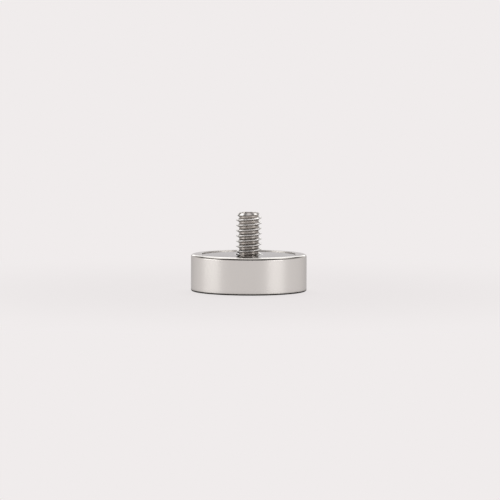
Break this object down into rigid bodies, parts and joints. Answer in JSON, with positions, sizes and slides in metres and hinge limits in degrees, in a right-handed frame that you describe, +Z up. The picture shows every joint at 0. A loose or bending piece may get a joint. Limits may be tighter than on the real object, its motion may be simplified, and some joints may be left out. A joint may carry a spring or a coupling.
{
  "type": "fishing magnet",
  "caption": "Small round single-sided pot magnet with a threaded stud on its closed back, for retrieving lost iron from water on a line.",
  "frame": {"origin": "centre of the pulling face, in its plane", "axes": "+Z up along the stud, away from the pulling face; +X towards one corner of the stud's hexagon socket"},
  "size_m": [0.028, 0.028, 0.019],
  "materials": {
    "ring_plating": "polished",
    "plate_plating": "polished",
    "bush_brass": "satin",
    "magnet_plating": "polished",
    "adhesive": "gloss",
    "potting_resin": "gloss",
    "plug_nylon": "satin",
    "sealant": "matte",
    "seal_rubber": "matte",
    "stud_stainless": "satin"
  },
  "bodies": {
    "housing": {"pole_ring": "ring_plating", "back_plate": "plate_plating", "threaded_bush": "bush_brass", "ring_magnet": "magnet_plating", "magnet_bond": "adhesive", "outer_resin": "potting_resin", "inner_resin": "potting_resin", "face_plug": "plug_nylon", "seam_sealant": "sealant"},
    "seal": {"stud_seal": "seal_rubber"},
    "stud": {"threaded_stud": "stud_stainless"}
  },
  "joints": [
    {"name": "stud_turn", "type": "hinge", "parent": "housing", "child": "seal", "pos_m": [0, 0, 0.00885], "axis": [0, 0, 1], "range_deg": [0, 900]},
    {"name": "stud_lift", "type": "slide", "parent": "seal", "child": "stud", "axis": [0, 0, 1], "range_m": [0, 0.00317]}
  ],
  "couplings": [
    {"joint": "stud_turn", "follows": "stud_lift", "rad_per_m": 4947.4}
  ]
}
